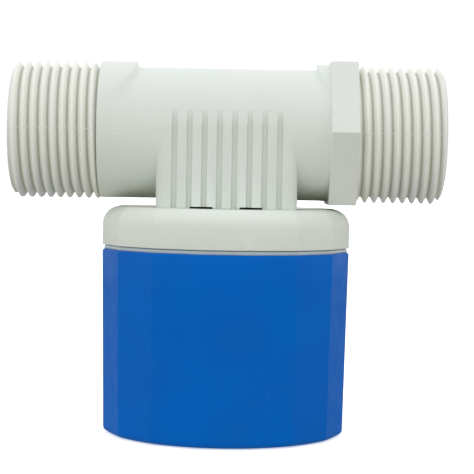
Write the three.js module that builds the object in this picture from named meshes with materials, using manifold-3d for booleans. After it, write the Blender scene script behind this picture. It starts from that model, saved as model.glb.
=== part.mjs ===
// Pilot-operated float valve, straight-through pattern, with G1 male threads on both pipe ends.
// Units are millimetres and +Z is up. The origin is the centre of the float's underside. The inlet end
// points along +X and the outlet end along -X. The float is drawn at the top of its travel, valve shut.
//
// How it works: the float rises and its rubber pad shuts the pilot nozzle. Line pressure then builds up
// under the piston through its bleed hole and lifts the piston against the seat. When the float drops,
// the nozzle drains the space under the piston, and the inlet pressure pushes the piston down.

import * as THREE from "three";
import { mergeVertices } from "three/addons/utils/BufferGeometryUtils.js";
import Module from "manifold-3d";

const wasm = await Module();
wasm.setup();

// ---------------------------------------------------------------- driving dimensions

const CLEAR = 0.3; // gap between separate pieces that touch in the real valve
const CLOSE = 0.1; // the same where a screw or a seal holds the two together
const CUT = 1; // how far a cutting tool runs past the face that it cuts
const SIDES = { run: 40, piston: 36, round: 32, small: 14, hole: 10, pin: 8 }; // facets of round pieces

// Float: a faceted cup with a cap bonded on.
const FACETS = 16;
const FLOAT = {
  baseHalf: 29, // half the width across flats, at the underside
  topHalf: 29.7, // the same at the cup's rim
  cupHeight: 44.5,
  capBottom: 45.55,
  capTop: 54.9,
  capThickness: 2.5,
  plugDepth: 4, // how far the cap's ring reaches into the cup's rim
  socketDepth: 4.4, // the same for the ring that the inner cup fits
  wall: 2,
  floor: 2.2,
  baseRound: 1.8,
  capRound: 4.2,
};
const CAP_UNDERSIDE = FLOAT.capTop - FLOAT.capThickness;
const FLOAT_TRAVEL = 6;
const COLLAR_HOLE_R = 7.8; // hole in the cap that slides on the guide legs
const KEY_HALF = 1.6; // half the width of the hole's two keys, which run in the slots between the legs

// Pipe run.
const AXIS_Z = 73.2; // axis of both threads and of the hexagon
const TUBE_Z = AXIS_Z - 0.4; // the tube between them sits a little lower
const HALF_LENGTH = 52.1;
const TUBE_R = 15.9;
const BORE_R = 12;
const THREAD = { pitch: 2.309, crestR: 16.6, rootR: 15.15, endChamfer: 0.9, segments: 24 };
const HEX = { acrossFlats: 34.4, x0: 24.7, x1: 31.2, chamfer: 0.5 };
const INLET_COLLAR = { r: 16.9, x0: 21.7, edge: 0.4 };
const OUTLET_COLLAR = { r: 16.6, x0: -30.9, x1: -22, edge: 0.5, z: AXIS_Z + 0.25 };

// Neck: a rounded block under the tube, ribbed front and back, that holds the piston chamber.
const NECK_Z = FLOAT.capTop + CLEAR; // its lower edge, which the pieces inside are placed from
const NECK = { halfX: 16.75, halfY: TUBE_R, cornerR: 2.3 };
const GROOVE = { count: 8, pitch: 3.555, width: 1.25, depth: 0.9, topZ: TUBE_Z + 5.4 };
const DRAIN = { x0: 3.2, x1: 8.4, height: 0.4 };
const POCKET = { halfX: 14.8, halfY: 14, top: NECK_Z + 4.5, cornerR: 1.5 };

// Pilot cover, its guide legs and the nozzle.
const COVER = { halfX: 14.5, halfY: 13.7, cornerR: 1.2, bottom: NECK_Z + 1.5, top: NECK_Z + 3.6 };
const POST_R = 3;
const LEGS = { innerR: 5.6, outerR: 7.3, hookR: 8.6, bottom: NECK_Z - 11, slot: 4.4 };
const NOZZLE = { r: 1.6, boreR: 0.6, tip: NECK_Z - 9.6, top: NECK_Z - 5.6, seatR: 1.9 };
const PILOT_R = 0.8;
const SCREW = { x: 11.9, y: 11.1, shankR: 1.2, length: 7.5, point: 1.2, headR: 2.3, headHeight: 0.9 };
const CROSS = { halfLength: 1.2, halfWidth: 0.3, depth: 0.5 }; // recess in a cover screw's head
const PILOT_PAD = { r: 3.9, top: NOZZLE.tip - CLEAR };

// Main valve.
const CHAMBER_R = 12.5;
const DAM_TOP = AXIS_Z - 7.4; // top of the chamber wall that the inlet water flows over
const SHELF = { bottom: AXIS_Z - 2.3, top: AXIS_Z - 0.5 };
const INLET_WALL = [12.3, 15.6]; // the wall above the shelf that keeps the inlet from the outlet
const OUTLET_WALL_X = -15.6; // where the outlet bore ends against the chamber
const SEAT = { portR: 6.5, lipR: 8, lipZ: AXIS_Z - 3.6 };
const PISTON_TRAVEL = 3.5;
const PISTON_Z = COVER.top + CLEAR + PISTON_TRAVEL;
const PISTON = { r: 12.2, bottom: PISTON_Z, top: PISTON_Z + 5, pocketR: 7.5, pocketTop: PISTON_Z + 3.2 };
const SEAL_GROOVE = { r: 10.6, z0: PISTON.bottom + 0.8, z1: PISTON.bottom + 2.8 };
const BLEED = { y: -9.6, holeR: 0.5, pinR: 0.28, pinZ: COVER.bottom + 0.9 };
const PISTON_PAD = { r: 8.6, z0: PISTON.top + CLOSE, z1: SEAT.lipZ - CLEAR };
const PAD_WASHER = { r: 4.6, z0: PISTON_PAD.z1 + CLOSE, thickness: 0.6 };
const PAD_SCREW = { holeR: 1.7, shankR: 1.4, headR: 2.7, headHeight: 1.4 };
const PAD_CROSS = { halfLength: 1.5, halfWidth: 0.35, depth: 0.7 };
const SPRING = { r: 5.9, wireR: 0.3, turns: 4, sides: 6 };

// Inner cup of the float, which the guide legs reach into.
const WELL = { outerR: 12, innerR: 10.4, bottom: NECK_Z - 14.1, floor: 1.6, socketWall: 1.5 };
const PAD_RIM = { thickness: 1.1, height: 1.2, gap: 0.2 }; // raised ring round the pilot pad

// Inlet strainer: a perforated disc that a ring holds against a step in the bore.
const STRAINER = { stepX: 20, stepR: 10.6, outerR: 11.7, thickness: 0.5, holeR: 1.3, holePitch: 3.6 };
const STRAINER_RING = { innerR: 10.2, x0: 21.1, x1: 24.2, spoke: 1.2, spokeX: 21.3 };

// ---------------------------------------------------------------- solids and booleans

// A three.js geometry as a manifold-3d solid.
function solid(geometry) {
  const bare = geometry.clone();
  bare.deleteAttribute("normal");
  bare.deleteAttribute("uv");
  const merged = mergeVertices(bare, 1e-3);
  return new wasm.Manifold(
    new wasm.Mesh({
      numProp: 3,
      vertProperties: new Float32Array(merged.attributes.position.array),
      triVerts: new Uint32Array(merged.index.array),
    }),
  );
}

// A manifold-3d solid as a three.js geometry.
function geometryOf(manifold) {
  const mesh = manifold.getMesh();
  const geometry = new THREE.BufferGeometry();
  geometry.setAttribute("position", new THREE.BufferAttribute(mesh.vertProperties, 3));
  geometry.setIndex(new THREE.BufferAttribute(mesh.triVerts, 1));
  geometry.computeVertexNormals();
  return geometry;
}

const join = (solids) => solids.reduce((all, next) => all.add(next));
const cutAway = (base, tools) => base.subtract(join(tools));

// A solid of revolution about Z, from [radius, z] points that run up the outside.
// turn is the angle of its first corner from -Y.
function revolved(points, segments = SIDES.round, turn = 0) {
  const profile = points.map(([r, z]) => new THREE.Vector2(r, z));
  return new THREE.LatheGeometry(profile, segments, turn).rotateX(Math.PI / 2);
}

const ring = (inner, outer, z0, z1, segments) =>
  revolved([[inner, z0], [outer, z0], [outer, z1], [inner, z1], [inner, z0]], segments);

const disc = (r, z0, z1, segments) =>
  revolved([[0, z0], [r, z0], [r, z1], [0, z1]], segments);

// A cutter for an upright round hole from z0 to z1, centred on (x, y).
const hole = (r, z0, z1, [x, y], sides = SIDES.hole) =>
  solid(disc(r, z0 - CUT, z1 + CUT, sides).translate(x, y, 0));

// Turns a shape about Z into one about X, with its axis at height z.
const alongX = (geometry, z) => geometry.rotateY(Math.PI / 2).translate(0, 0, z);

function box([x0, x1], [y0, y1], [z0, z1]) {
  return new THREE.BoxGeometry(x1 - x0, y1 - y0, z1 - z0)
    .translate((x0 + x1) / 2, (y0 + y1) / 2, (z0 + z1) / 2);
}

// An upright block with rounded corners, centred on the Z axis.
function roundedBlock(halfX, halfY, cornerR, z0, z1) {
  const shape = new THREE.Shape();
  shape.absarc(halfX - cornerR, halfY - cornerR, cornerR, 0, Math.PI / 2);
  shape.absarc(cornerR - halfX, halfY - cornerR, cornerR, Math.PI / 2, Math.PI);
  shape.absarc(cornerR - halfX, cornerR - halfY, cornerR, Math.PI, 1.5 * Math.PI);
  shape.absarc(halfX - cornerR, cornerR - halfY, cornerR, 1.5 * Math.PI, 2 * Math.PI);
  const options = { depth: z1 - z0, bevelEnabled: false, curveSegments: 3 };
  return new THREE.ExtrudeGeometry(shape, options).translate(0, 0, z0);
}

// ---------------------------------------------------------------- screw thread

// Radius of the 55 degree pipe thread, by the share of a pitch along it. Each flank takes a third of the
// pitch, and the flats on the crest and in the root a sixth each.
function threadRadius(share) {
  const { crestR, rootR } = THREAD;
  const fromCrest = Math.abs(share - 1 / 2);
  const drop = THREE.MathUtils.clamp((fromCrest - 1 / 12) * 3, 0, 1);
  return crestR + (rootR - crestR) * drop;
}

// A right-hand thread about Z from z = 0 to z = length: a cylinder whose rows of corners follow the
// helix, so that crests and roots are clean lines. Rows past either end fold onto that end.
function threadedRod(length) {
  const { pitch, segments, endChamfer, rootR } = THREAD;
  const rowShares = [1, 5, 7, 11].map((twelfths) => twelfths / 12); // the corners of the profile
  const spare = 2; // turns past the length, for the slant of the helix
  const rows = rowShares.length * (Math.ceil(length / pitch) + spare);
  const geometry = new THREE.CylinderGeometry(1, 1, rows, segments, rows).translate(0, rows / 2, 0);
  const position = geometry.attributes.position;
  const uv = geometry.attributes.uv;
  for (let i = 0; i < position.count; i++) {
    const x = position.getX(i);
    const z = position.getZ(i);
    const row = Math.round(position.getY(i));
    const onCap = geometry.attributes.normal.getY(i) !== 0;
    const turn = onCap ? Math.atan2(x, z) / (2 * Math.PI) : uv.getX(i);
    const turns = Math.floor(row / rowShares.length) + rowShares[row % rowShares.length] - spare;
    const onHelix = THREE.MathUtils.clamp((turns + turn) * pitch, 0, length);
    const onEnd = row === 0 ? 0 : length;
    const height = onCap ? onEnd : onHelix;
    const share = THREE.MathUtils.euclideanModulo(height / pitch - turn, 1);
    const chamfered = rootR - endChamfer + (length - height);
    const r = Math.min(threadRadius(share), chamfered) * Math.hypot(x, z);
    const angle = turn * 2 * Math.PI;
    position.setXYZ(i, r * Math.sin(angle), height, r * Math.cos(angle));
  }
  return geometry.rotateX(Math.PI / 2);
}

// ---------------------------------------------------------------- valve body

const pipe = (r, x0, x1, z = AXIS_Z, segments = SIDES.run) => alongX(disc(r, x0, x1, segments), z);

// A collar on the run whose two edges are broken by the given amount.
function collar(r, x0, x1, edge, z, segments) {
  const profile = [[0, x0], [r - edge, x0], [r, x0 + edge], [r, x1 - edge], [r - edge, x1], [0, x1]];
  return alongX(revolved(profile, segments), z);
}

// A male thread that starts a little inside the shoulder and runs out to the end of the inlet.
const spigot = (shoulderX) =>
  alongX(threadedRod(HALF_LENGTH - shoulderX + CUT).translate(0, 0, shoulderX - CUT), AXIS_Z);

function bodyOutside() {
  const { acrossFlats, x0, x1, chamfer } = HEX;
  const inner = INLET_COLLAR;
  const outer = OUTLET_COLLAR;
  return join([
    solid(pipe(TUBE_R, outer.x0 + CUT, x0 + CUT, TUBE_Z)),
    solid(collar(outer.r, outer.x0, outer.x1, outer.edge, outer.z, SIDES.run)),
    solid(collar(inner.r, inner.x0, x0 + CUT, inner.edge, AXIS_Z, SIDES.run)),
    solid(collar(acrossFlats / Math.sqrt(3), x0, x1, chamfer, AXIS_Z, 6)),
    solid(spigot(x1)),
    solid(spigot(-outer.x0).rotateZ(Math.PI)),
    solid(roundedBlock(NECK.halfX, NECK.halfY, NECK.cornerR, NECK_Z, TUBE_Z)),
  ]);
}

// Upright grooves that leave ribs between them, front and back.
function ribGrooves() {
  const tools = [];
  for (let i = 0; i < GROOVE.count; i++) {
    const x = (i - (GROOVE.count - 1) / 2) * GROOVE.pitch;
    const front = box(
      [x - GROOVE.width / 2, x + GROOVE.width / 2],
      [-NECK.halfY - CUT, GROOVE.depth - NECK.halfY],
      [NECK_Z - CUT, GROOVE.topZ],
    );
    tools.push(solid(front), solid(front.clone().rotateZ(Math.PI)));
  }
  return tools;
}

// Shallow slots in the neck's lower edge, where pilot water runs out.
function drainSlots() {
  return [[-DRAIN.x1, -DRAIN.x0], [DRAIN.x0, DRAIN.x1]].map((x) =>
    solid(box(x, [-NECK.halfY - CUT, NECK.halfY + CUT], [NECK_Z - CUT, NECK_Z + DRAIN.height])));
}

const screwPlaces = [[1, 1], [-1, 1], [-1, -1], [1, -1]].map(([sx, sy]) => [sx * SCREW.x, sy * SCREW.y]);

// The water's way through: in over the dam, up through the seat, and out above the shelf.
function waterway() {
  const far = HALF_LENGTH + CUT;
  const across = [-BORE_R - CUT, BORE_R + CUT];
  const low = AXIS_Z - BORE_R - CUT;
  const high = AXIS_Z + BORE_R + CUT;
  const bore = solid(pipe(BORE_R, -far, far));
  const narrow = solid(pipe(STRAINER.stepR, 0, far));
  const inletEnd = solid(box([STRAINER.stepX, far], across, [low, high]));
  const behindStrainer = solid(box([INLET_WALL[1], STRAINER.stepX + CUT], across, [low, high]));
  const overDam = solid(box([0, INLET_WALL[1] + CUT], across, [DAM_TOP, SHELF.bottom]));
  const aboveShelf = solid(box([OUTLET_WALL_X - CUT, INLET_WALL[0]], across, [SHELF.top, high]));
  const outletEnd = solid(box([-far, OUTLET_WALL_X], across, [low, high]));
  const chamber = solid(disc(CHAMBER_R, POCKET.top - CUT, SHELF.bottom, SIDES.run));
  const seatLip = solid(ring(SEAT.portR, SEAT.lipR, SEAT.lipZ, SHELF.bottom + CUT));
  return join([
    bore.intersect(join([inletEnd, aboveShelf, outletEnd, overDam])),
    narrow.intersect(behindStrainer),
    chamber.subtract(seatLip),
    hole(SEAT.portR, SHELF.bottom, SHELF.top, [0, 0], SIDES.round),
  ]);
}

function body() {
  const pocket = solid(roundedBlock(POCKET.halfX, POCKET.halfY, POCKET.cornerR, NECK_Z - CUT, POCKET.top));
  const screwHoles = screwPlaces.map((place) =>
    hole(SCREW.shankR + 2 * CLOSE, POCKET.top, COVER.bottom + SCREW.length, place));
  return cutAway(bodyOutside(), [waterway(), pocket, ...ribGrooves(), ...drainSlots(), ...screwHoles]);
}

// ---------------------------------------------------------------- inlet strainer

function strainerScreen() {
  const { stepX, outerR, thickness, holeR, holePitch } = STRAINER;
  const x0 = stepX + CLEAR;
  const x1 = x0 + thickness;
  const holes = [[0, 0]];
  for (const count of [6, 12]) {
    const r = (holePitch * count) / 6;
    for (let i = 0; i < count; i++) {
      const angle = (i / count) * 2 * Math.PI;
      holes.push([r * Math.cos(angle), r * Math.sin(angle)]);
    }
  }
  return cutAway(
    solid(pipe(outerR, x0, x1, AXIS_Z, SIDES.round)),
    holes.map(([y, z]) => solid(pipe(holeR, x0 - CUT, x1 + CUT, AXIS_Z + z, SIDES.pin).translate(0, y, 0))),
  );
}

function strainerRing() {
  const { innerR, x0, x1, spoke, spokeX } = STRAINER_RING;
  const midWall = (innerR + STRAINER.outerR) / 2;
  const reach = [-midWall, midWall];
  const alongBore = [spokeX, spokeX + spoke];
  return join([
    solid(alongX(ring(innerR, STRAINER.outerR, x0, x1), AXIS_Z)),
    solid(box(alongBore, reach, [AXIS_Z - spoke / 2, AXIS_Z + spoke / 2])),
    solid(box(alongBore, [-spoke / 2, spoke / 2], reach.map((z) => AXIS_Z + z))),
  ]);
}

// ---------------------------------------------------------------- pilot cover

// Cover plate with the nozzle post and four springy hooked legs that carry and guide the float.
function pilotCover() {
  const { halfX, halfY, cornerR, bottom, top } = COVER;
  const { innerR, outerR, hookR, slot } = LEGS;
  const hookTop = CAP_UNDERSIDE - FLOAT_TRAVEL - CLEAR;
  const legs = revolved([
    [innerR, LEGS.bottom], [outerR, LEGS.bottom], [hookR, hookTop - 0.5], [hookR, hookTop],
    [outerR, hookTop], [outerR, bottom + CUT], [innerR, bottom + CUT], [innerR, LEGS.bottom],
  ], SIDES.round, Math.PI / SIDES.round);
  const slotZ = [LEGS.bottom - CUT, NECK_Z + CLEAR];
  const legRing = cutAway(solid(legs), [
    solid(box([-hookR, hookR], [-slot / 2, slot / 2], slotZ)),
    solid(box([-slot / 2, slot / 2], [-hookR, hookR], slotZ)),
  ]);
  const plate = solid(roundedBlock(halfX, halfY, cornerR, bottom, top));
  const post = solid(disc(POST_R, NOZZLE.tip + 2 * CLEAR, bottom + CUT, SIDES.round));
  return cutAway(join([plate, post, legRing]), [
    hole(PILOT_R, NOZZLE.tip, top, [0, 0]),
    solid(disc(NOZZLE.seatR, NOZZLE.tip - CUT, NOZZLE.top + CLEAR, SIDES.small)),
    solid(disc(BLEED.pinR + CLOSE, BLEED.pinZ - CLOSE, top + CUT, SIDES.pin).translate(0, BLEED.y, 0)),
    ...screwPlaces.map((place) => hole(SCREW.shankR + CLEAR, bottom, top, place)),
  ]);
}

function coverGasket() {
  const z0 = COVER.top + CLOSE;
  const z1 = POCKET.top - CLOSE;
  return cutAway(solid(roundedBlock(COVER.halfX, COVER.halfY, COVER.cornerR, z0, z1)), [
    hole(CHAMBER_R + CLOSE, z0, z1, [0, 0], SIDES.round),
    ...screwPlaces.map((place) => hole(SCREW.shankR + CLEAR, z0, z1, place)),
  ]);
}

// The two crossed cuts of a cross recess, from z0 to z1.
function crossRecess({ halfLength, halfWidth }, z0, z1) {
  const long = [-halfLength, halfLength];
  const wide = [-halfWidth, halfWidth];
  return [solid(box(long, wide, [z0, z1])), solid(box(wide, long, [z0, z1]))];
}

// Pan-head tapping screw, head down, with the seating face of its head just below z = 0.
function coverScrew() {
  const { shankR, length, point, headR, headHeight } = SCREW;
  const seat = -CLOSE;
  const foot = seat - headHeight;
  const outline = revolved([
    [0, foot], [headR - 0.6, foot], [headR, seat - CLEAR], [headR, seat],
    [shankR, seat], [shankR, length - point], [0, length],
  ], SIDES.small);
  return cutAway(solid(outline), crossRecess(CROSS, foot - CUT, foot + CROSS.depth));
}

function pilotNozzle() {
  const { r, boreR, tip, top } = NOZZLE;
  return solid(revolved([
    [boreR, tip], [boreR + 0.4, tip], [r, tip + 0.9], [r, top], [boreR, top], [boreR, tip],
  ], SIDES.small));
}

// A fine pin that keeps the bleed hole clear as the piston slides along it.
const bleedPin = () =>
  solid(disc(BLEED.pinR, BLEED.pinZ, PISTON.top + 1.6, SIDES.pin).translate(0, BLEED.y, 0));

// ---------------------------------------------------------------- piston

function piston() {
  const { r, bottom, top, pocketR, pocketTop } = PISTON;
  const outline = revolved([
    [0, pocketTop], [pocketR, pocketTop], [pocketR, bottom], [r, bottom], [r, SEAL_GROOVE.z0],
    [SEAL_GROOVE.r, SEAL_GROOVE.z0], [SEAL_GROOVE.r, SEAL_GROOVE.z1], [r, SEAL_GROOVE.z1],
    [r, top - CLEAR], [r - CLEAR, top], [0, top],
  ], SIDES.piston);
  return cutAway(solid(outline), [
    hole(PAD_SCREW.holeR, bottom, top, [0, 0]),
    hole(BLEED.holeR, bottom, top, [0, BLEED.y], SIDES.pin),
  ]);
}

// Cup seal whose lip points down into the pressure.
function pistonSeal() {
  const gap = 0.15; // from the seal to its groove
  const lip = 0.5;
  const web = 0.8; // height of the hollow between the lip and the groove
  const inner = SEAL_GROOVE.r + gap;
  const outer = CHAMBER_R - CLEAR;
  const z0 = SEAL_GROOVE.z0 + gap;
  const z1 = SEAL_GROOVE.z1 - gap;
  return solid(revolved([
    [inner, z0], [inner + lip, z0], [inner + lip, z0 + web], [outer - lip, z0 + web],
    [outer - lip, z0], [outer, z0], [outer - gap, z1], [inner, z1], [inner, z0],
  ], SIDES.piston));
}

const pistonPad = () => solid(ring(PAD_SCREW.holeR, PISTON_PAD.r, PISTON_PAD.z0, PISTON_PAD.z1));

function padWasher() {
  const { r, z0, thickness } = PAD_WASHER;
  return solid(ring(PAD_SCREW.holeR, r, z0, z0 + thickness));
}

function padScrew() {
  const { shankR, headR, headHeight } = PAD_SCREW;
  const bottom = PISTON.pocketTop + CLOSE;
  const seat = PAD_WASHER.z0 + PAD_WASHER.thickness + CLOSE;
  const top = seat + headHeight;
  const outline = revolved([
    [0, bottom], [shankR, bottom], [shankR, seat], [headR, seat],
    [headR, top - 0.6], [headR - 0.7, top], [0, top],
  ], SIDES.small);
  return cutAway(solid(outline), crossRecess(PAD_CROSS, top - PAD_CROSS.depth, top + CUT));
}

// Compression spring between the cover and the piston.
class Helix extends THREE.Curve {
  constructor(radius, z0, z1, turns) {
    super();
    Object.assign(this, { radius, z0, z1, turns });
  }
  getPoint(t, target = new THREE.Vector3()) {
    const angle = 2 * Math.PI * this.turns * t;
    const z = THREE.MathUtils.lerp(this.z0, this.z1, t);
    return target.set(this.radius * Math.cos(angle), this.radius * Math.sin(angle), z);
  }
}

function wireSection(r, sides) {
  const section = new THREE.Shape();
  for (let i = 0; i < sides; i++) {
    const angle = (i / sides) * 2 * Math.PI;
    section[i ? "lineTo" : "moveTo"](r * Math.cos(angle), r * Math.sin(angle));
  }
  return section;
}

function pistonSpring() {
  const { r, wireR, turns, sides } = SPRING;
  const stepsPerTurn = 14;
  const path = new Helix(r, COVER.top + CLOSE + wireR, PISTON.pocketTop - CLOSE - wireR, turns);
  return solid(new THREE.ExtrudeGeometry(wireSection(wireR, sides), {
    steps: turns * stepsPerTurn,
    extrudePath: path,
    bevelEnabled: false,
  }));
}

// ---------------------------------------------------------------- float

const toCorner = 1 / Math.cos(Math.PI / FACETS); // from half a width across flats to a corner's radius

// A faceted solid of revolution, with a flat to the front.
const faceted = (points) =>
  solid(revolved(points.map(([half, z]) => [half * toCorner, z]), FACETS, Math.PI / FACETS));

// Points of a quarter circle round [cx, cz], from one angle to another in degrees.
function arc(cx, cz, r, from, to, steps) {
  return Array.from({ length: steps + 1 }, (_, i) => {
    const angle = THREE.MathUtils.degToRad(from + ((to - from) * i) / steps);
    return [cx + r * Math.cos(angle), cz + r * Math.sin(angle)];
  });
}

function floatCup() {
  const { baseHalf, topHalf, cupHeight, wall, floor, baseRound } = FLOAT;
  return faceted([
    [0, 0],
    ...arc(baseHalf - baseRound, baseRound, baseRound, -90, 0, 4),
    [topHalf, cupHeight],
    [topHalf - wall, cupHeight],
    [baseHalf - wall, floor + 1],
    [baseHalf - wall - 1, floor],
    [0, floor],
  ]);
}

function floatCap() {
  const { topHalf, capBottom, capTop, capRound, wall, plugDepth, socketDepth } = FLOAT;
  const under = CAP_UNDERSIDE;
  const outsideHalf = topHalf - CLOSE;
  const plugHalf = topHalf - wall - CLEAR; // the ring that fits inside the cup's rim
  const shell = faceted([
    [0, under], [plugHalf - wall, under], [plugHalf - wall, capBottom - plugDepth],
    [plugHalf, capBottom - plugDepth],
    [plugHalf, capBottom], [topHalf, capBottom],
    ...arc(outsideHalf - capRound, capTop - capRound, capRound, 0, 90, 5),
    [0, capTop],
  ]);
  const socketR = WELL.outerR + CLEAR;
  const wellSocket = solid(ring(socketR, socketR + WELL.socketWall, under - socketDepth, under + CUT));
  const keyReach = [[-COLLAR_HOLE_R - 0.5, -LEGS.innerR], [LEGS.innerR, COLLAR_HOLE_R + 0.5]];
  const keys = keyReach.map((y) => solid(box([-KEY_HALF, KEY_HALF], y, [under, capTop])));
  const collarHole = hole(COLLAR_HOLE_R, under, capTop, [0, 0], SIDES.round);
  return join([shell.add(wellSocket).subtract(collarHole), ...keys]);
}

function seamGasket() {
  const inner = FLOAT.topHalf - FLOAT.wall + CLOSE;
  const outer = FLOAT.topHalf - 0.5;
  const z0 = FLOAT.cupHeight + CLOSE;
  const z1 = FLOAT.capBottom - CLOSE;
  return faceted([[inner, z0], [outer, z0], [outer, z1], [inner, z1], [inner, z0]]);
}

// Inner cup that keeps the float's air dry and holds the pilot pad.
function floatWell() {
  const { outerR, innerR, bottom, floor } = WELL;
  const top = CAP_UNDERSIDE - CLEAR;
  const inside = bottom + floor;
  const rimInner = PILOT_PAD.r + PAD_RIM.gap;
  const rimOuter = rimInner + PAD_RIM.thickness;
  return solid(revolved([
    [0, bottom], [outerR - 1, bottom], [outerR, bottom + 1], [outerR, top], [innerR, top],
    [innerR, inside], [rimOuter, inside], [rimOuter, inside + PAD_RIM.height],
    [rimInner, inside + PAD_RIM.height], [rimInner, inside], [0, inside],
  ]));
}

function pilotPad() {
  const { r, top } = PILOT_PAD;
  const bottom = WELL.bottom + WELL.floor + CLOSE;
  return solid(revolved([[0, bottom], [r, bottom], [r, top - CLEAR], [r - CLEAR, top], [0, top]]));
}

// ---------------------------------------------------------------- materials and assembly

const finish = (color, roughness, metalness = 0) =>
  new THREE.MeshStandardMaterial({ color, roughness, metalness });
const whitePlastic = finish(0xdfe3dc, 0.5);
const bluePlastic = finish(0x1059ae, 0.45);
const innerPlastic = finish(0xe9e9e4, 0.5);
const clearSeal = finish(0xb9c3c6, 0.4);
const blackRubber = finish(0x1c1c1d, 0.7);
const steel = finish(0xb8babd, 0.3, 1);

const valve = new THREE.Group();

function place(name, shape, material, [x, y, z] = [0, 0, 0]) {
  const mesh = new THREE.Mesh(geometryOf(shape), material);
  mesh.name = name;
  mesh.position.set(x, y, z);
  valve.add(mesh);
}

place("body", body(), whitePlastic);
place("strainer_screen", strainerScreen(), steel);
place("strainer_ring", strainerRing(), innerPlastic);
place("pilot_cover", pilotCover(), innerPlastic);
place("cover_gasket", coverGasket(), blackRubber);
place("pilot_nozzle", pilotNozzle(), steel);
place("bleed_pin", bleedPin(), steel);
screwPlaces.forEach(([x, y], i) =>
  place(`cover_screw_${i + 1}`, coverScrew(), steel, [x, y, COVER.bottom]));

place("piston", piston(), innerPlastic);
place("piston_seal", pistonSeal(), blackRubber);
place("piston_pad", pistonPad(), blackRubber);
place("pad_washer", padWasher(), steel);
place("pad_screw", padScrew(), steel);
place("piston_spring", pistonSpring(), steel);

place("float_cup", floatCup(), bluePlastic);
place("float_cap", floatCap(), whitePlastic);
place("seam_gasket", seamGasket(), clearSeal);
place("float_well", floatWell(), innerPlastic);
place("pilot_pad", pilotPad(), blackRubber);

export default valve;
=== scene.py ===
"""Looks for the float valve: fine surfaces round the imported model, materials, light and camera.

Lengths are in millimetres, and new_object() turns them into metres. Light, camera and floor are in metres.
Places come from the frame's own boxes."""

import math

import bmesh
import bpy
from mathutils import Matrix, Vector


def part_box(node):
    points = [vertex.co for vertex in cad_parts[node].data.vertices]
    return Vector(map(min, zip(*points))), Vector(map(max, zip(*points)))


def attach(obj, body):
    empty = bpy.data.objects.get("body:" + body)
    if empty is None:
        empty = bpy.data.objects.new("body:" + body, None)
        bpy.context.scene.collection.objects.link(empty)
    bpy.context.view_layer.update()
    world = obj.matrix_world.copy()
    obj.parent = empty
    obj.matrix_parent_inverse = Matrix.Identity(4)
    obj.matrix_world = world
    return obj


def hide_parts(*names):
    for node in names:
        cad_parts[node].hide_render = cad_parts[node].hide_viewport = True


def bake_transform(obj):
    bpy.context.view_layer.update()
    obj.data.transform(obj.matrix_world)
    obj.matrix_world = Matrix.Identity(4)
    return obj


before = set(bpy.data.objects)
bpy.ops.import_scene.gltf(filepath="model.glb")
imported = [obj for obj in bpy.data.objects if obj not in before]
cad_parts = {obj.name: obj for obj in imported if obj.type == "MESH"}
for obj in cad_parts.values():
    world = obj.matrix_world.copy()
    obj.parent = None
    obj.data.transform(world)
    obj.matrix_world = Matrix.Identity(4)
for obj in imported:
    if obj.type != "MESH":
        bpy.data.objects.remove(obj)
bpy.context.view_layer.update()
MM = 0.001


def box_mm(node):
    """The CAD node's lowest and highest corners, in millimetres."""
    low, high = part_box(node)
    return low / MM, high / MM


# ---------------------------------------------------------------- sizes

BODY_LOW, BODY_HIGH = box_mm("body")
CUP_LOW, CUP_HIGH = box_mm("float_cup")
CAP_LOW, CAP_HIGH = box_mm("float_cap")
SEAM_LOW, SEAM_HIGH = box_mm("seam_gasket")
SCREEN_LOW, SCREEN_HIGH = box_mm("strainer_screen")
RING_LOW, RING_HIGH = box_mm("strainer_ring")
COVER_LOW, COVER_HIGH = box_mm("pilot_cover")

# Pipe run.
HALF_LENGTH = BODY_HIGH.x
HEX_HALF = 17.2  # half the width across its flats
AXIS_Z = BODY_HIGH.z - HEX_HALF
TUBE_R = 15.9
TUBE_Z = AXIS_Z - 0.4
BORE_R = 12
HEX_X = (24.4, 31.1)
INLET_COLLAR = {"r": 16.9, "far": HEX_X[0] + 1, "near": 21.3, "z": AXIS_Z}
OUTLET_COLLAR = {"r": 16.6, "far": -30.9, "near": -22, "z": AXIS_Z + 0.25}
COLLAR_EDGE = 0.35
THREAD = {
    "pitch": 2.309,
    "crest_x": 0.9,
    "crest_r": 16.62,
    "rounding": 0.317,
    "end_r": 14.9,
    "rows": 20,  # rows of points per pitch
    "columns": 120,  # points round each row
}

# Ribbed neck.
NECK_HALF = (16.75, TUBE_R)
NECK_CORNER = 2.3
NECK_BOTTOM = CAP_HIGH.z - 0.2
GROOVE = {"count": 8, "pitch": 3.555, "width": 1.2, "depth": 0.9, "edge": 0.34, "top": TUBE_Z + 6}
DRAIN = {"x": (3.2, 8.6), "height": 0.5}
POCKET = {"half": (14.8, 14), "top": COVER_HIGH.z + 0.9, "corner": 1.5}

# Chamber, seat and shelf inside the run.
CHAMBER_R = 12.5
DAM_TOP = AXIS_Z - 7.4
SHELF_Z = (AXIS_Z - 2.3, AXIS_Z - 0.5)
INLET_WALL = (12.3, 15.6)
OUTLET_WALL_X = -15.6
SEAT = {"port_r": 6.5, "lip_r": 8, "lip_z": AXIS_Z - 3.6}
STEP_X, STEP_R = 20, 10.6

# Float.
FACETS = 16
TOP_HALF = CUP_HIGH.x + 0.1
BASE_HALF = TOP_HALF - 0.75
WALL = 2
FACET_EDGE = 0.55  # rounding of the upright edges between facets
BASE_ROUND = 1.45
CAP_ROUND = 4.2
CAP_THICKNESS = 2.5
DISH = {"depth": 0.32, "half": 23.4}  # the cap's top, slightly sunk inside its rim
COLLAR_HOLE_R = 7.8
LEG_INNER_R = 5.6
KEY_HALF = 1.6  # half the width of the two keys in that hole

# ---------------------------------------------------------------- mesh building


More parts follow.
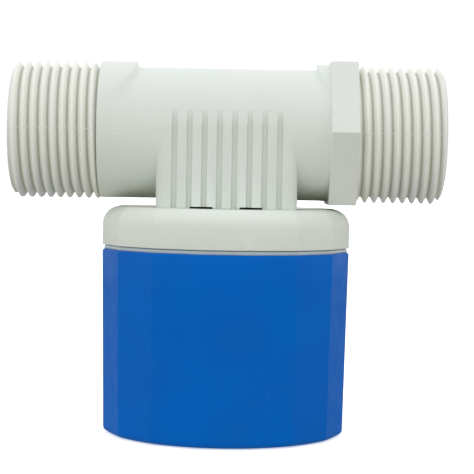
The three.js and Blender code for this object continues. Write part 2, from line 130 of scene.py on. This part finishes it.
def new_object(name, points, faces, smooth_angle=32):
    """A mesh from points in millimetres, smooth except over edges sharper than the angle in degrees."""
    mesh = bpy.data.meshes.new(name)
    mesh.from_pydata([Vector(p) * MM for p in points], [], faces)
    mesh.validate()
    obj = bpy.data.objects.new(name, mesh)
    bpy.context.scene.collection.objects.link(obj)
    finish_shading(obj, smooth_angle)
    return obj


def finish_shading(obj, smooth_angle=32):
    """Faces outwards, smooth shading, and sharp edges where the surface turns by more than the angle."""
    work = bmesh.new()
    work.from_mesh(obj.data)
    bmesh.ops.recalc_face_normals(work, faces=work.faces)
    limit = math.radians(smooth_angle)
    for edge in work.edges:
        edge.smooth = len(edge.link_faces) == 2 and edge.calc_face_angle() < limit
    for face in work.faces:
        face.smooth = True
    work.to_mesh(obj.data)
    work.free()


def loft(name, rings, closed=False, smooth_angle=32):
    """Quads between rings of equally many points, its ends capped or, if closed, joined to each other."""
    count = len(rings[0])
    points = [p for ring in rings for p in ring]
    faces = []
    for k in range(len(rings) if closed else len(rings) - 1):
        a = k * count
        b = (k + 1) % len(rings) * count
        for i in range(count):
            j = (i + 1) % count
            faces.append((a + i, a + j, b + j, b + i))
    if not closed:
        faces.append(tuple(range(count)))
        faces.append(tuple(range(len(points) - count, len(points))))
    return new_object(name, points, faces, smooth_angle)


def arc(cx, cy, r, start, stop, steps):
    """Points on a circle's arc, from one angle to another in degrees."""
    angles = [math.radians(start + (stop - start) * i / steps) for i in range(steps + 1)]
    return [(cx + r * math.cos(a), cy + r * math.sin(a)) for a in angles]


def even_angles(count):
    return [2 * math.pi * i / count for i in range(count)]


def upright(profile, radius, angles):
    """Rings about Z: radius(size, angle) turns each profile point's size into a distance from the axis."""
    return [
        [(radius(size, a) * math.cos(a), radius(size, a) * math.sin(a), z) for a in angles]
        for size, z in profile
    ]


def upright_at(heights, radius, angles):
    """Rings about Z, one at each height, where radius(height, angle) gives the distance from the axis."""
    return [[(radius(z, a) * math.cos(a), radius(z, a) * math.sin(a), z) for a in angles] for z in heights]


def level(rings, z):
    """Turns rings about Z into rings about X, with their axis at height z."""
    return [[(p[2], p[0], p[1] + z) for p in ring] for ring in rings]


def circle(size, _angle):
    return size


def disc(name, r, z0, z1, segments=64, edge=0.0):
    """A round solid about Z, its two edges rounded by the given amount."""
    profile = [(r, z0), (r, z1)]
    if edge:
        profile = arc(r - edge, z0 + edge, edge, -90, 0, 3) + arc(r - edge, z1 - edge, edge, 0, 90, 3)
    return loft(name, upright(profile, circle, even_angles(segments)))


def pipe(name, r, x0, x1, z=AXIS_Z, segments=128, edge=0.0):
    """A round solid about the line along X at height z."""
    profile = [(r, x0), (r, x1)]
    if edge:
        profile = arc(r - edge, x0 + edge, edge, -90, 0, 4) + arc(r - edge, x1 - edge, edge, 0, 90, 4)
    return loft(name, level(upright(profile, circle, even_angles(segments)), z))


def polygon_radius(sides, half, edge, angle):
    """Distance to the outline of a regular polygon with rounded corners, with a flat facing angle 0."""
    step = math.pi / sides
    off_flat = abs((angle + step) % (2 * step) - step)
    if off_flat <= math.atan((half - edge) * math.tan(step) / half):
        return half / math.cos(off_flat)
    to_corner = step - off_flat
    centre = (half - edge) / math.cos(step)
    return centre * math.cos(to_corner) + math.sqrt(edge**2 - (centre * math.sin(to_corner)) ** 2)


def polygon_angles(sides, half, edge, corner_steps=6, flat_steps=4):
    """Angles that put corner_steps points round each corner and flat_steps along each flat."""
    step = math.pi / sides
    tangent = math.atan((half - edge) * math.tan(step) / half)
    angles = []
    for side in range(sides):
        middle = side * 2 * step
        angles += [middle - tangent + 2 * tangent * i / flat_steps for i in range(flat_steps)]
        angles += [middle + tangent + 2 * (step - tangent) * i / corner_steps for i in range(corner_steps)]
    return angles


def rounded_outline(half_x, half_y, corner, steps=8):
    """An oblong with rounded corners, as (x, y) points."""
    x, y = half_x - corner, half_y - corner
    return (
        arc(x, y, corner, 0, 90, steps)
        + arc(-x, y, corner, 90, 180, steps)
        + arc(-x, -y, corner, 180, 270, steps)
        + arc(x, -y, corner, 270, 360, steps)
    )


def block(name, half_x, half_y, corner, z0, z1):
    outline = rounded_outline(half_x, half_y, corner)
    return loft(name, [[(x, y, z) for x, y in outline] for z in (z0, z1)])


def cuboid(name, x, y, z):
    """A plain box for cutting, from (low, high) pairs."""
    corners = [(x[0], y[0]), (x[1], y[0]), (x[1], y[1]), (x[0], y[1])]
    return loft(name, [[(px, py, pz) for px, py in corners] for pz in z])


def combine(base, tools, operation):
    """Joins tools to base, cuts them from it, or keeps what they share, and removes the tools."""
    for tool in tools:
        step = base.modifiers.new(operation, "BOOLEAN")
        step.operation = operation
        step.solver = "MANIFOLD"
        step.object = tool
        depsgraph = bpy.context.evaluated_depsgraph_get()
        mesh = bpy.data.meshes.new_from_object(base.evaluated_get(depsgraph))
        base.modifiers.clear()
        old = base.data
        base.data = mesh
        bpy.data.meshes.remove(old)
        bpy.data.objects.remove(tool)
    return base


def united(tools):
    return combine(tools[0], tools[1:], "UNION")


def dress(obj, body, material, replaced=()):
    """Gives a new piece its material and the body that it moves with, and hides the CAD nodes that it stands
    for.
    """
    obj.data.materials.clear()
    obj.data.materials.append(material)
    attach(obj, body)
    if replaced:
        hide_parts(*replaced)
    return obj


# ---------------------------------------------------------------- materials


class Nodes:
    """A short way to add and link shader nodes."""

    def __init__(self, name):
        self.material = bpy.data.materials.new(name)
        self.material.use_nodes = True
        self.tree = self.material.node_tree
        self.shader = self.tree.nodes["Principled BSDF"]
        self.place = self.add("ShaderNodeTexCoord").outputs["Object"]

    @classmethod
    def of_tree(cls, tree):
        """The same for a tree that isn't a material's."""
        nodes = cls.__new__(cls)
        nodes.tree = tree
        return nodes

    def add(self, kind, **settings):
        node = self.tree.nodes.new(kind)
        for key, value in settings.items():
            setattr(node, key, value)
        return node

    def link(self, source, target):
        self.tree.links.new(source, target)

    def noise(self, scale, detail=3.0, stretch=(1, 1, 1)):
        """Noise with features about 1/scale metres apart, drawn out along the axes by stretch."""
        mapping = self.add("ShaderNodeMapping")
        mapping.inputs["Scale"].default_value = stretch
        self.link(self.place, mapping.inputs["Vector"])
        node = self.add("ShaderNodeTexNoise")
        node.inputs["Scale"].default_value = scale
        node.inputs["Detail"].default_value = detail
        self.link(mapping.outputs["Vector"], node.inputs["Vector"])
        return node.outputs["Fac"]

    def ramp(self, value, low, high, start=0.0, stop=1.0):
        """start below low, stop above high, and smooth between them."""
        node = self.add("ShaderNodeMapRange", interpolation_type="SMOOTHSTEP")
        for name, number in zip(("From Min", "From Max", "To Min", "To Max"), (low, high, start, stop)):
            node.inputs[name].default_value = number
        self.link(value, node.inputs["Value"])
        return node.outputs["Result"]

    def math(self, operation, a, b):
        node = self.add("ShaderNodeMath", operation=operation)
        for socket, value in zip(node.inputs, (a, b)):
            if isinstance(value, (int, float)):
                socket.default_value = value
            else:
                self.link(value, socket)
        return node.outputs[0]

    def mix(self, factor, first, second):
        """A colour between two, each given as numbers or as another node's output."""
        node = self.add("ShaderNodeMix", data_type="RGBA")
        self.link(factor, node.inputs["Factor"])
        for socket, value in ((node.inputs[6], first), (node.inputs[7], second)):
            if isinstance(value, tuple):
                socket.default_value = (*value, 1)
            else:
                self.link(value, socket)
        return node.outputs[2]

    def bump(self, height, distance, strength=1.0, after=None):
        node = self.add("ShaderNodeBump")
        node.inputs["Distance"].default_value = distance
        node.inputs["Strength"].default_value = strength
        self.link(height, node.inputs["Height"])
        if after:
            self.link(after, node.inputs["Normal"])
        return node.outputs["Normal"]

    def edges(self, low=0.52, high=0.62):
        """1 along outward edges of the surface, where a painted highlight goes, and 0 elsewhere."""
        return self.ramp(self.add("ShaderNodeNewGeometry").outputs["Pointiness"], low, high)

    def recess_shade(self, distance=0.012, open_share=0.45):
        """1 deep in slots and corners, where ambient occlusion finds them shaded, and 0 on open surface: the
        mask for painted shade.
        """
        node = self.add("ShaderNodeAmbientOcclusion", samples=8)
        node.inputs["Distance"].default_value = distance
        return self.ramp(node.outputs["AO"], 0, open_share, 1, 0)

    def surface(self, colour, roughness, normal):
        self.link(colour, self.shader.inputs["Base Color"])
        self.link(roughness, self.shader.inputs["Roughness"])
        self.link(normal, self.shader.inputs["Normal"])
        return self.material


# Painted shade: the dark grey-olive that recesses and thread roots are darkened towards.
PAINTED_SHADE = (0.3, 0.31, 0.2)
# Painted highlight: the light colour that the thread crests are tinted towards.
THREAD_CREST_HIGHLIGHT = (0.9, 0.9, 0.85)


def moulded_plastic(name, colour, shade, roughness, specular, threads=False):
    """Satin moulded plastic with drifting colour and fine grain.

    Threads add a painted highlight on their crests, painted shade in their roots and a mould line."""
    n = Nodes(name)
    tone = n.mix(n.ramp(n.noise(45), 0.35, 0.65), colour, shade)
    specks = n.ramp(n.noise(1600, 1), 0.7, 0.76)
    tone = n.mix(n.math("MULTIPLY", specks, 0.25), tone, tuple(c * 0.7 for c in shade))
    # Painted highlight: outward edges made a little lighter.
    tone = n.mix(n.math("MULTIPLY", n.edges(), 0.12), tone, tuple(min(1, c * 1.08) for c in colour))
    # Painted shade: slots, corners and the gap under the run darkened by the ambient-occlusion mask.
    tone = n.mix(n.math("MULTIPLY", n.recess_shade(), 0.5), tone, PAINTED_SHADE)
    grain = n.noise(2600, 2)
    waves = n.noise(130, 1)
    normal = n.bump(waves, 0.0003, 0.22)
    normal = n.bump(grain, 0.00002, 0.5, normal)
    if threads:
        split = n.add("ShaderNodeSeparateXYZ")
        n.link(n.place, split.inputs[0])
        off_line = n.math("ABSOLUTE", n.math("SUBTRACT", split.outputs["Z"], AXIS_Z * MM), 0)
        from_middle = n.math("ABSOLUTE", split.outputs["X"], 0)
        at_ends = n.ramp(from_middle, -OUTLET_COLLAR["near"] * MM, (2 - OUTLET_COLLAR["near"]) * MM)
        on_thread = n.ramp(from_middle, (HEX_X[1] - 0.2) * MM, (HEX_X[1] + 0.2) * MM)
        off_axis_z = n.math("SUBTRACT", split.outputs["Z"], AXIS_Z * MM)
        squares = [n.math("MULTIPLY", side, side) for side in (split.outputs["Y"], off_axis_z)]
        radius = n.math("SQRT", n.math("ADD", *squares), 0)
        # Painted highlight: the thread crests tinted lighter than the tube.
        crest = n.math("MULTIPLY", n.ramp(radius, 15.3 * MM, 15.7 * MM), on_thread)
        tone = n.mix(n.math("MULTIPLY", crest, 0.95), tone, THREAD_CREST_HIGHLIGHT)
        outside_bore = n.ramp(radius, 14 * MM, 14.6 * MM)
        root = n.math("MULTIPLY", n.ramp(radius, 15.14 * MM, 15.34 * MM, 1, 0), outside_bore)
        behind_tip = n.ramp(from_middle, (HALF_LENGTH - 1.6) * MM, (HALF_LENGTH - 0.8) * MM, 1, 0)
        root = n.math("MULTIPLY", root, n.math("MULTIPLY", on_thread, behind_tip))
        # Painted shade: the thread roots darkened towards the shade colour.
        tone = n.mix(n.math("MULTIPLY", root, 0.6), tone, PAINTED_SHADE)
        line = n.math("MULTIPLY", n.ramp(off_line, 0.00004, 0.00016, 1, 0), at_ends)
        normal = n.bump(line, 0.00004, 0.5, normal)
        tone = n.mix(n.math("MULTIPLY", line, 0.6), tone, tuple(min(1, c * 1.1) for c in colour))
    finish = n.ramp(n.noise(220), 0.3, 0.7, roughness - 0.05, roughness + 0.06)
    n.shader.inputs["Specular IOR Level"].default_value = specular
    return n.surface(tone, finish, normal)


def scuffed_blue(name):
    """Blue satin plastic with fine handling scratches in several directions."""
    n = Nodes(name)
    tone = n.mix(n.ramp(n.noise(60), 0.35, 0.65), (0.0, 0.136, 0.59), (0.001, 0.125, 0.55))
    across = n.ramp(n.noise(260, 2, (1, 1, 14)), 0.66, 0.72)
    along = n.ramp(n.noise(300, 2, (12, 12, 1)), 0.68, 0.74)
    patches = n.ramp(n.noise(70, 2), 0.52, 0.7)
    scratches = n.math("MULTIPLY", n.math("MAXIMUM", across, along), patches)
    tone = n.mix(n.math("MULTIPLY", scratches, 0.16), tone, (0.09, 0.26, 0.62))
    # Painted highlight: the cup's outward edges and rim made a lighter blue.
    tone = n.mix(n.math("MULTIPLY", n.edges(), 0.25), tone, (0.05, 0.2, 0.6))
    normal = n.bump(n.noise(110, 1), 0.0003, 0.16)
    normal = n.bump(scratches, 0.00002, 0.4, normal)
    normal = n.bump(n.noise(2400, 2), 0.00002, 0.35, normal)
    n.shader.inputs["Specular IOR Level"].default_value = 0.05
    return n.surface(tone, n.ramp(n.noise(240), 0.3, 0.7, 0.38, 0.5), normal)


def soft_rubber(name, colour, roughness, transmission=0.0):
    n = Nodes(name)
    tone = n.mix(n.noise(400), colour, tuple(c * 0.8 for c in colour))
    normal = n.bump(n.noise(1800, 3), 0.00004, 0.5)
    n.shader.inputs["Transmission Weight"].default_value = transmission
    return n.surface(tone, n.ramp(n.noise(300), 0.3, 0.7, roughness - 0.08, roughness + 0.08), normal)


def stainless(name):
    n = Nodes(name)
    tone = n.mix(n.noise(500, 3, (1, 1, 8)), (0.56, 0.57, 0.58), (0.44, 0.45, 0.47))
    n.shader.inputs["Metallic"].default_value = 1
    normal = n.bump(n.noise(1500, 2, (1, 1, 10)), 0.00001, 0.4)
    return n.surface(tone, n.ramp(n.noise(400), 0.3, 0.7, 0.22, 0.38), normal)


BODY_PLASTIC = moulded_plastic("body_plastic", (0.76, 0.805, 0.765), (0.745, 0.79, 0.745), 0.46, 0.4, True)
CAP_PLASTIC = moulded_plastic("cap_plastic", (0.755, 0.81, 0.755), (0.745, 0.795, 0.74), 0.48, 0.4)
INNER_PLASTIC = moulded_plastic("inner_plastic", (0.8, 0.8, 0.75), (0.77, 0.77, 0.71), 0.5, 0.45)
BLUE_PLASTIC = scuffed_blue("blue_plastic")
SEAM_RUBBER = soft_rubber("seam_rubber", (0.6, 0.71, 0.76), 0.35, 0.1)
BLACK_RUBBER = soft_rubber("black_rubber", (0.016, 0.016, 0.016), 0.65)
STEEL = stainless("stainless_steel")

# ---------------------------------------------------------------- valve body


def thread_drop(from_crest):
    """How far a pipe thread's surface lies below its crest: flanks at 55 degrees, crest and root rounded."""
    half_angle, rounding = math.radians(27.5), THREAD["rounding"]
    reach = rounding * math.cos(half_angle)  # from a crest or root to where its rounding meets the flank
    round_drop = rounding * (1 - math.sin(half_angle))
    flank_drop = (THREAD["pitch"] / 2 - 2 * reach) / math.tan(half_angle)
    from_root = THREAD["pitch"] / 2 - from_crest
    if from_crest < reach:
        return rounding - math.sqrt(rounding**2 - from_crest**2)
    if from_root < reach:
        return 2 * round_drop + flank_drop - rounding + math.sqrt(rounding**2 - from_root**2)
    return round_drop + (from_crest - reach) / math.tan(half_angle)


def thread_radius(x, angle, tip):
    """Distance to the right-hand thread's surface, chamfered at the tip."""
    turns = ((x - THREAD["crest_x"]) / THREAD["pitch"] - angle / (2 * math.pi)) % 1
    from_crest = abs(turns - 0.5) * THREAD["pitch"]
    return min(THREAD["crest_r"] - thread_drop(from_crest), THREAD["end_r"] + (tip - x) * 1.6)


def threaded_end(name, shoulder):
    """A threaded pipe end that points along +X, from just inside its shoulder to the tip."""
    start = shoulder - 0.6
    rows = round((HALF_LENGTH - start) / THREAD["pitch"] * THREAD["rows"])
    angles = even_angles(THREAD["columns"])
    profile = [start + (HALF_LENGTH - start) * i / rows for i in range(rows + 1)]
    rings = upright_at(profile, lambda x, a: thread_radius(x, a, HALF_LENGTH), angles)
    lip = 0.35  # rounding at the mouth of the bore
    mouth = arc(BORE_R + lip, HALF_LENGTH - lip, lip, 90, 180, 4) + [(BORE_R, start)]
    rings += upright(mouth, circle, angles)
    return loft(name, level(rings, AXIS_Z), closed=True)


def smooth_step(value, low, high):
    share = min(1, max(0, (value - low) / (high - low)))
    return share * share * (3 - 2 * share)


def faded_collar(name, r, far, near, z):
    """A collar that steps down to the tube at its near end, sharply on top and more gently round the sides."""
    offset = z - TUBE_Z
    length = near - far
    steps = [0, 0.04, 0.1, 0.2, 0.35, 0.6, 1] + [1 + 0.4 * i for i in range(1, 21)]
    places = [near - math.copysign(min(step, abs(length)), length) for step in steps]

    def radius(x, angle):
        tube = math.sqrt(TUBE_R**2 - (offset * math.cos(angle)) ** 2) - offset * math.sin(angle)
        sunk = tube - 0.04
        fade = 0.35 + 7.5 * smooth_step(-math.sin(angle), -0.93, -0.35)
        edge = max(0, COLLAR_EDGE - abs(x - far))
        rounding = COLLAR_EDGE - math.sqrt(COLLAR_EDGE**2 - edge**2)
        return sunk + (r - rounding - sunk) * smooth_step(abs(near - x), 0, fade)

    places += [far + math.copysign(COLLAR_EDGE * share, length) for share in (0.6, 0.3, 0.1, 0)]
    places.sort()
    angles = even_angles(192)
    return loft(name, level(upright_at(places, radius, angles), z))


def hexagon():
    edge = 0.35
    angles = polygon_angles(6, HEX_HALF, edge, flat_steps=6)
    # A flat faces up: the outline starts on +Y once the rings are laid along X.
    profile = arc(HEX_HALF - edge, HEX_X[0] + edge, edge, -90, 0, 4)
    profile += arc(HEX_HALF - edge, HEX_X[1] - edge, edge, 0, 90, 4)
    turned = [a + math.pi / 2 for a in angles]
    rings = upright(profile, lambda half, a: polygon_radius(6, half, edge, a - math.pi / 2), turned)
    return loft("hexagon", level(rings, AXIS_Z))


def neck():
    """The ribbed block below the run, its lower edge slightly rounded."""
    edge = 0.3
    rings = []
    heights = [(edge, NECK_BOTTOM), (edge * 0.3, NECK_BOTTOM + edge * 0.3), (0, NECK_BOTTOM + edge), (0, TUBE_Z)]
    for inset, z in heights:
        outline = rounded_outline(NECK_HALF[0] - inset, NECK_HALF[1] - inset, NECK_CORNER - inset)
        rings.append([(x, y, z) for x, y in outline])
    return loft("neck", rings)


def groove_cutter(x, side):
    """An upright groove whose mouth is rounded and whose floor is flat."""
    half, edge = GROOVE["width"] / 2, GROOVE["edge"]
    face = NECK_HALF[1]
    floor = face - GROOVE["depth"]
    right = [(half, floor)] + arc(half + edge, face - edge, edge, 180, 90, 5) + [(half + edge, face + 2)]
    outline = right + [(-px, py) for px, py in reversed(right)]
    placed = [(x + px, side * py) for px, py in outline]
    return loft("groove", [[(px, py, z) for px, py in placed] for z in (NECK_BOTTOM - 1, GROOVE["top"])])


def rib_grooves():
    first = -(GROOVE["count"] - 1) / 2 * GROOVE["pitch"]
    places = [first + i * GROOVE["pitch"] for i in range(GROOVE["count"])]
    return [groove_cutter(x, side) for x in places for side in (-1, 1)]


def drain_slots():
    x0, x1 = DRAIN["x"]
    z = (NECK_BOTTOM - 1, NECK_BOTTOM + DRAIN["height"])
    return [cuboid("drain", x, (-NECK_HALF[1] - 1, NECK_HALF[1] + 1), z) for x in ((x0, x1), (-x1, -x0))]


def in_bore(r, x, z):
    """The part of a level round bore between two heights."""
    return combine(pipe("bore", r, *x), [cuboid("between", (x[0] - 1, x[1] + 1), (-20, 20), z)], "INTERSECT")


def seat_ring():
    lip = arc((SEAT["port_r"] + SEAT["lip_r"]) / 2, SEAT["lip_z"] + 0.3, 0.75, 180, 360, 8)
    profile = [(SEAT["port_r"], SHELF_Z[0] + 1), *lip, (SEAT["lip_r"], SHELF_Z[0] + 1)]
    return loft("seat_ring", upright(profile, circle, even_angles(96)), closed=True)


def waterway():
    """In over the dam, up through the seat, and out above the shelf."""
    low, high = AXIS_Z - BORE_R - 1, AXIS_Z + BORE_R + 1
    chamber = disc("chamber", CHAMBER_R, POCKET["top"] - 1, SHELF_Z[0], 96)
    return [
        in_bore(BORE_R, (STEP_X, HALF_LENGTH + 1), (low, high)),
        in_bore(STEP_R, (INLET_WALL[1], STEP_X + 1), (low, high)),
        in_bore(BORE_R, (0, INLET_WALL[1] + 1), (DAM_TOP, SHELF_Z[0])),
        in_bore(BORE_R, (OUTLET_WALL_X - 1, INLET_WALL[0]), (SHELF_Z[1], high)),
        in_bore(BORE_R, (-HALF_LENGTH - 1, OUTLET_WALL_X), (low, high)),
        combine(chamber, [seat_ring()], "DIFFERENCE"),
        disc("port", SEAT["port_r"], SHELF_Z[0] - 1, SHELF_Z[1] + 1, 96),
    ]


def valve_body():
    collars = [faded_collar("inlet_collar", **INLET_COLLAR), faded_collar("outlet_collar", **OUTLET_COLLAR)]
    run = pipe("tube", TUBE_R, OUTLET_COLLAR["far"] + 1, HEX_X[0] + 1, TUBE_Z, segments=256)
    outlet = threaded_end("outlet_thread", -OUTLET_COLLAR["far"])
    outlet.data.transform(Matrix.Rotation(math.pi, 4, "Z"))
    shape = united([run, *collars, hexagon(), neck(), threaded_end("inlet_thread", HEX_X[1]), outlet])
    holes = []
    for i in (1, 2, 3, 4):
        low, high = box_mm(f"cover_screw_{i}")
        hole = disc("screw_hole", 1.4, POCKET["top"] - 1, high.z + 1, 24)
        hole.data.transform(Matrix.Translation(Vector((low.x + high.x, low.y + high.y, 0)) * MM / 2))
        holes.append(hole)
    pocket = block("pocket", *POCKET["half"], POCKET["corner"], NECK_BOTTOM - 1, POCKET["top"])
    combine(shape, [*waterway(), pocket, *rib_grooves(), *drain_slots(), *holes], "DIFFERENCE")
    shape.name = "valve_body_shell"
    finish_shading(shape, 34)
    return shape


dress(valve_body(), "valve", BODY_PLASTIC, ("body",))

# ---------------------------------------------------------------- piston spring


def piston_spring():
    """Compression spring of round wire with closed ends, as tall and as wide as its CAD node."""
    low, high = box_mm("piston_spring")
    wire_r, turns, steps_per_turn = 0.25, 3.5, 32
    coil_r = high.x - wire_r
    bottom, top = low.z + wire_r, high.z - wire_r
    rings = []
    for step in range(round(turns * steps_per_turn) + 1):
        turn = step / steps_per_turn
        around = 2 * math.pi * turn
        climb = min(1, max(0, (turn - 0.5) / (turns - 1)))
        z = bottom + (top - bottom) * climb
        section = [(coil_r + wire_r * math.cos(a), z + wire_r * math.sin(a)) for a in even_angles(12)]
        rings.append([(r * math.cos(around), r * math.sin(around), height) for r, height in section])
    return loft("piston_spring_wire", rings)


def fit_spring():
    """Puts a steel wire spring in the CAD node's place and hides the node."""
    spring = piston_spring()
    spring.data.materials.append(STEEL)
    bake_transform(spring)
    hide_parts("piston_spring")


fit_spring()

# ---------------------------------------------------------------- float


def facet_radius(half, angle):
    """Distance to a faceted side, or to a circle on the small middle of a flat end."""
    return polygon_radius(FACETS, half, FACET_EDGE, angle) if half > 4 else half / math.cos(math.pi / FACETS)


def foot_radius(half, angle):
    """The same on the cup's foot: the facets melt into a circle as it curves under."""
    corner = half / math.cos(math.pi / FACETS)
    melt = smooth_step(BASE_HALF - half, 0, BASE_ROUND)
    return facet_radius(half, angle) * (1 - melt) + (half + corner) / 2 * melt


FACET_ANGLES = polygon_angles(FACETS, TOP_HALF, FACET_EDGE)


def float_cup():
    top, floor = CUP_HIGH.z, 2.2
    rim = 0.45
    profile = [(3, 0)]
    profile += arc(BASE_HALF - BASE_ROUND, BASE_ROUND, BASE_ROUND, -90, 0, 8)
    spread, climb = TOP_HALF - BASE_HALF, top - rim - BASE_ROUND
    profile += [(BASE_HALF + spread * i / 6, BASE_ROUND + climb * i / 6) for i in range(1, 6)]
    profile += arc(TOP_HALF - rim, top - rim, rim, 0, 90, 3)
    profile += [(TOP_HALF - WALL, top), (BASE_HALF - WALL, floor + 1), (BASE_HALF - WALL - 1, floor), (3, floor)]
    outside = 9  # the profile's points on its underside and foot
    rings = upright(profile[: outside + 1], foot_radius, FACET_ANGLES)
    rings += upright(profile[outside + 1 :], facet_radius, FACET_ANGLES)
    return loft("float_cup_shell", rings, smooth_angle=40)


def float_cap():
    bottom, top = CAP_LOW.z + 4, CAP_HIGH.z
    under = top - CAP_THICKNESS
    rim = 0.25
    plug = TOP_HALF - WALL - 0.3
    outside = TOP_HALF + 0.03
    faceted = [(plug - WALL, under), (plug - WALL, CAP_LOW.z), (plug, CAP_LOW.z), (plug, bottom)]
    faceted += arc(outside - rim, bottom + rim, rim, -90, 0, 3)
    faceted += arc(outside - CAP_ROUND, top - CAP_ROUND, CAP_ROUND, 0, 90, 12)
    sunk = top - DISH["depth"]
    faceted.append((DISH["half"], sunk))
    rings = upright(faceted, facet_radius, FACET_ANGLES)
    hole_edge = 0.4
    round_part = [(16, sunk), (12, sunk)]
    round_part += arc(COLLAR_HOLE_R + hole_edge, sunk - hole_edge, hole_edge, 90, 180, 4)
    socket = under - 3.5
    inner, outer = 12.3, 13.8  # the socket for the float's well, a ring below the cap
    round_part += [(COLLAR_HOLE_R, under), (inner, under), (inner, socket), (outer, socket), (outer, under)]
    round_part.append((18, under))
    rings += upright(round_part, circle, FACET_ANGLES)
    shell = loft("float_cap_shell", rings, closed=True)
    reach = (LEG_INNER_R, COLLAR_HOLE_R + 0.5)
    keys = [cuboid("key", (-KEY_HALF, KEY_HALF), y, (under, sunk)) for y in (reach, (-reach[1], -reach[0]))]
    nick = pipe("nick", 0.45, -0.7, 0.7, 0, 24)
    nick.data.transform(Matrix.Translation(Vector((6.2, -TOP_HALF, bottom - 0.1)) * MM))
    combine(shell, keys, "UNION")
    combine(shell, [nick], "DIFFERENCE")
    finish_shading(shell, 40)
    return shell


def seam_ring():
    """Soft ring between cap and cup, its outer corners cut off."""
    inner, outer = TOP_HALF - WALL + 0.1, SEAM_HIGH.x + 0.2
    z0, z1 = SEAM_LOW.z - 0.08, SEAM_HIGH.z - 0.05
    edge = outer - 0.2
    profile = [(inner, z0), (edge, z0), (outer, z0 + 0.3), (outer, z1 - 0.3), (edge, z1), (inner, z1)]
    return loft("seam_ring", upright(profile, facet_radius, FACET_ANGLES), closed=True, smooth_angle=50)


dress(float_cup(), "float", BLUE_PLASTIC, ("float_cup",))
dress(float_cap(), "float", CAP_PLASTIC, ("float_cap",))
dress(seam_ring(), "float", SEAM_RUBBER, ("seam_gasket",))

# ---------------------------------------------------------------- carried-over pieces

CARRIED = {
    INNER_PLASTIC: ["strainer_ring", "pilot_cover", "piston", "float_well"],
    BLACK_RUBBER: ["cover_gasket", "piston_seal", "piston_pad", "pilot_pad"],
    STEEL: [
        "strainer_screen", "pilot_nozzle", "bleed_pin", "pad_washer", "pad_screw",
        "cover_screw_1", "cover_screw_2", "cover_screw_3", "cover_screw_4",
    ],
}
for material, names in CARRIED.items():
    for name in names:
        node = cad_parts[name]
        node.data.materials.clear()
        node.data.materials.append(material)

# ---------------------------------------------------------------- floor, light and camera

WALL_IN_FRONT = (1.0, 1.0, 1.0)
WALL_BEHIND = (1.06, 1.06, 1.06)
WALL_ASIDE = (1.12, 1.12, 1.12)
CEILING = (1.1, 1.1, 1.1)
GROUND_FAR = (0.37, 0.36, 0.32)
GROUND_BELOW = (0.68, 0.67, 0.6)


def studio_floor():
    """A wide pale floor that the part stands on. It sends no light back up onto the part."""
    mesh = bpy.data.meshes.new("studio_floor")
    reach = 200
    corners = [(-reach, -reach, 0), (reach, -reach, 0), (reach, reach, 0), (-reach, reach, 0)]
    mesh.from_pydata(corners, [], [(0, 1, 2, 3)])
    floor = bpy.data.objects.new("studio_floor", mesh)
    floor.location.z = -0.0002
    bpy.context.scene.collection.objects.link(floor)
    n = Nodes("floor_paper")
    tone = n.mix(n.noise(30), (0.93, 0.93, 0.93), (0.9, 0.9, 0.9))
    n.link(tone, n.shader.inputs["Base Color"])
    n.shader.inputs["Roughness"].default_value = 0.9
    n.shader.inputs["Specular IOR Level"].default_value = 0
    n.shader.inputs["Emission Color"].default_value = (1, 1, 1, 1)
    n.shader.inputs["Emission Strength"].default_value = 0.5
    floor.data.materials.append(n.material)
    floor.visible_diffuse = False
    floor.visible_glossy = False


def studio_world():
    """White walls and ceiling, and a darker warm grey from just below the horizon down."""
    world = bpy.data.worlds.new("studio")
    bpy.context.scene.world = world
    world.use_nodes = True
    n = Nodes.of_tree(world.node_tree)
    split = n.add("ShaderNodeSeparateXYZ")
    n.link(n.add("ShaderNodeTexCoord").outputs["Generated"], split.inputs[0])
    x, y, z = split.outputs
    facing_x, facing_z = n.math("MULTIPLY", x, x), n.math("MULTIPLY", z, z)
    walls = n.mix(facing_x, n.mix(n.ramp(y, -0.3, 0.3), WALL_IN_FRONT, WALL_BEHIND), WALL_ASIDE)
    room = n.mix(facing_z, walls, CEILING)
    ground = n.mix(facing_z, GROUND_FAR, GROUND_BELOW)
    n.link(n.mix(n.ramp(z, -0.09, -0.03), ground, room), world.node_tree.nodes["Background"].inputs["Color"])


def softbox(name, place, aim, size, power):
    light = bpy.data.lights.new(name, "AREA")
    light.shape = "RECTANGLE"
    light.size, light.size_y = size
    light.energy = power
    lamp = bpy.data.objects.new(name, light)
    lamp.location = place
    lamp.rotation_euler = (Vector(aim) - Vector(place)).to_track_quat("-Z", "Y").to_euler()
    bpy.context.scene.collection.objects.link(lamp)


def photo_camera():
    """The photograph's viewpoint: slightly rolled and aimed a little down."""
    distance, height, aside = 0.3963, 0.0626, 0.00246
    pitch, yaw, roll = math.radians(2.164), math.radians(0.035), math.radians(1.03)
    camera = bpy.data.cameras.new("camera")
    camera.sensor_width = 36
    camera.lens = 122.6
    viewpoint = bpy.data.objects.new("camera", camera)
    viewpoint.location = (aside, -distance, height)
    aim = Vector((math.tan(yaw), 1, -math.tan(pitch)))
    turned = aim.to_track_quat("-Z", "Y").to_matrix() @ Matrix.Rotation(roll, 3, "Z")
    viewpoint.rotation_euler = turned.to_euler()
    bpy.context.scene.collection.objects.link(viewpoint)
    bpy.context.scene.camera = viewpoint


studio_floor()
studio_world()
softbox("front_fill", (-0.5, -1.1, 0.35), (0, 0, 0.06), (0.9, 0.7), 0.6)
photo_camera()
bpy.context.scene.view_settings.view_transform = "Standard"
